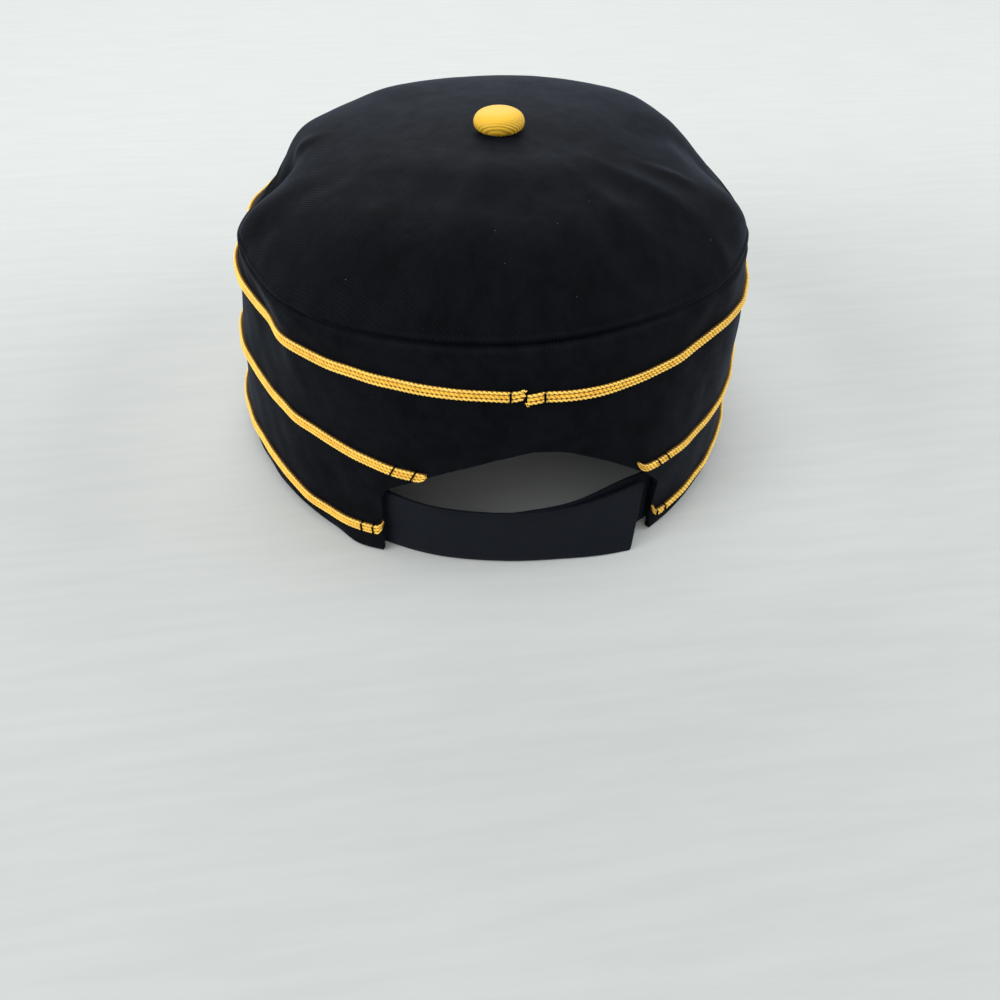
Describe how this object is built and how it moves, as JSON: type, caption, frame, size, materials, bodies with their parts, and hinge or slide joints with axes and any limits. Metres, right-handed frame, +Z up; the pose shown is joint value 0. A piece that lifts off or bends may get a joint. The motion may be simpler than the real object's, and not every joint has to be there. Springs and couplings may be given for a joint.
{
  "type": "pillbox baseball cap",
  "caption": "Black pillbox baseball cap with a round top panel, upright band with gold knitted braids, covered button, curved peak and webbing strap over an arched back opening.",
  "frame": {"origin": "middle of the whole cap's footprint on the table it stands on", "axes": "+Z up, -Y is the way the wearer faces and the peak points, +X is the wearer's left"},
  "size_m": [0.2006, 0.2606, 0.116],
  "materials": {
    "black_twill": "matte cotton twill",
    "gold_braid": "knitted rayon cord with a soft sheen",
    "gold_satin": "fine ribbed satin",
    "black_webbing": "tight smooth webbing"
  },
  "bodies": {
    "root": {"side_band": "black_twill", "crown_top": "black_twill", "peak": "black_twill", "braid_top": "gold_braid", "braid_middle": "gold_braid", "braid_bottom": "gold_braid", "top_button": "gold_satin", "strap": "black_webbing", "strap_tab": "black_webbing"}
  },
  "joints": []
}
